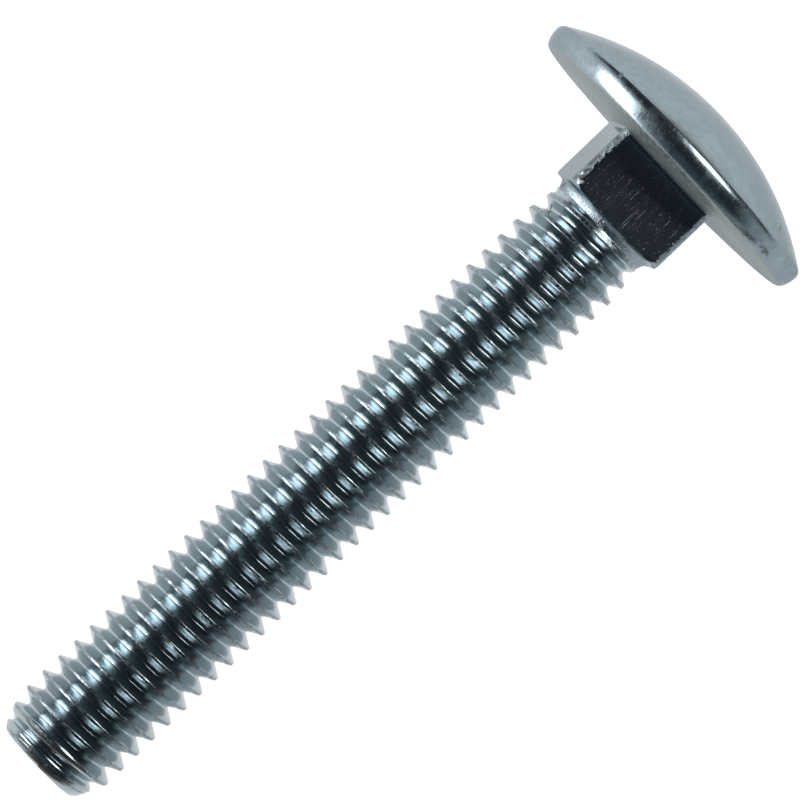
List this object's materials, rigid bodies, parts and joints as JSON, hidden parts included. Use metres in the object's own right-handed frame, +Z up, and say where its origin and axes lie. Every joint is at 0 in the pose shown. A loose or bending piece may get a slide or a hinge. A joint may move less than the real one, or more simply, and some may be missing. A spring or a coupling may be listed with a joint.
{
  "type": "carriage bolt",
  "caption": "Round-head carriage bolt with a plain dome, a square neck and a right-hand thread along its whole shank.",
  "frame": {"origin": "centre of the bounding box's footprint, on the floor that the bolt lies on", "axes": "+X towards the head, +Z up from the floor; the bolt's own axis leans 7.4 degrees up towards the head, as it rests on the head's rim and on a thread crest near the tip"},
  "size_m": [0.0432, 0.0158, 0.0158],
  "materials": {
    "zinc_plated_steel": "bright zinc plate with a bluish passivation, smooth on the dome and rougher on the thread's crests"
  },
  "bodies": {
    "root": {"carriage_bolt": "zinc_plated_steel"}
  },
  "joints": []
}
